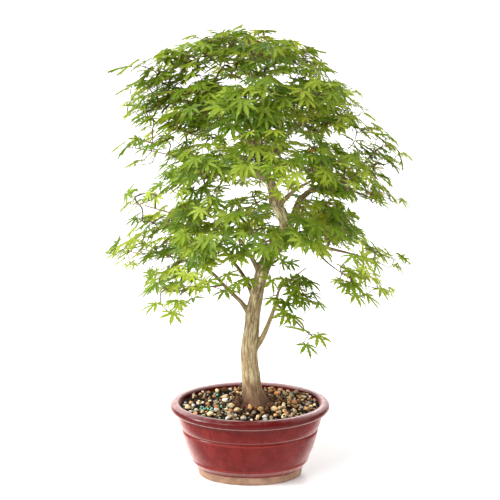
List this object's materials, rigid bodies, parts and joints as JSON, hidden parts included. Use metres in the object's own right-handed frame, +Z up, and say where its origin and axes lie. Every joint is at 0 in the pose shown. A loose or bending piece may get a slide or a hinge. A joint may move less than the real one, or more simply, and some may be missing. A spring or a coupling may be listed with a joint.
{
  "type": "bonsai tree in a pot",
  "caption": "Maple bonsai with a gently bent trunk and layered leaf sprays, growing in gravel in an oval glazed pot with a rolled rim.",
  "frame": {"origin": "middle of the pot's flat foot, on the surface that it stands on", "axes": "+Z up, +X along the pot's long side, -Y towards the viewer's side of the tree"},
  "size_m": [0.4597, 0.3249, 0.7039],
  "materials": {
    "glazed_pot": "gloss",
    "screen_plastic": "matte",
    "soil": "matte",
    "gravel": "matte",
    "bark": "matte",
    "leaf": "satin"
  },
  "bodies": {
    "root": {"pot": "glazed_pot", "drain_screen_left": "screen_plastic", "drain_screen_right": "screen_plastic", "soil": "soil", "gravel_layer": "gravel", "trunk": "bark", "branch_low_right": "bark", "branch_low_left": "bark", "branch_low_back_left": "bark", "branch_low_back_right": "bark", "branch_mid_left": "bark", "branch_mid_front": "bark", "branch_low_right_outer": "bark", "branch_fork_right": "bark", "branch_mid_right_front": "bark", "branch_back": "bark", "branch_high_left": "bark", "branch_high_front": "bark", "branch_crown_right": "bark", "branch_crown_left": "bark", "branch_crown_front": "bark", "branch_crown_back": "bark", "foliage_low_shoot": "leaf", "foliage_inner_right": "leaf", "foliage_skirt_left_tip": "leaf", "foliage_skirt_left": "leaf", "foliage_skirt_left_front": "leaf", "foliage_skirt_back_left": "leaf", "foliage_skirt_back": "leaf", "foliage_skirt_back_right": "leaf", "foliage_skirt_right_tip": "leaf", "foliage_skirt_right_front": "leaf", "foliage_mid_left_tip": "leaf", "foliage_mid_left": "leaf", "foliage_mid_left_front": "leaf", "foliage_mid_front": "leaf", "foliage_mid_right_front": "leaf", "foliage_mid_right": "leaf", "foliage_mid_right_tip": "leaf", "foliage_mid_back_left": "leaf", "foliage_mid_back": "leaf", "foliage_mid_back_right": "leaf", "foliage_high_left_tip": "leaf", "foliage_high_left": "leaf", "foliage_high_left_front": "leaf", "foliage_high_front": "leaf", "foliage_high_right_front": "leaf", "foliage_high_right_tip": "leaf", "foliage_high_back_left": "leaf", "foliage_high_back_right": "leaf", "foliage_crown_left_tip": "leaf", "foliage_crown_left": "leaf", "foliage_crown_front": "leaf", "foliage_crown_right": "leaf", "foliage_crown_right_tip": "leaf", "foliage_top_left": "leaf", "foliage_top": "leaf", "foliage_top_back": "leaf", "foliage_top_right": "leaf"}
  },
  "joints": []
}
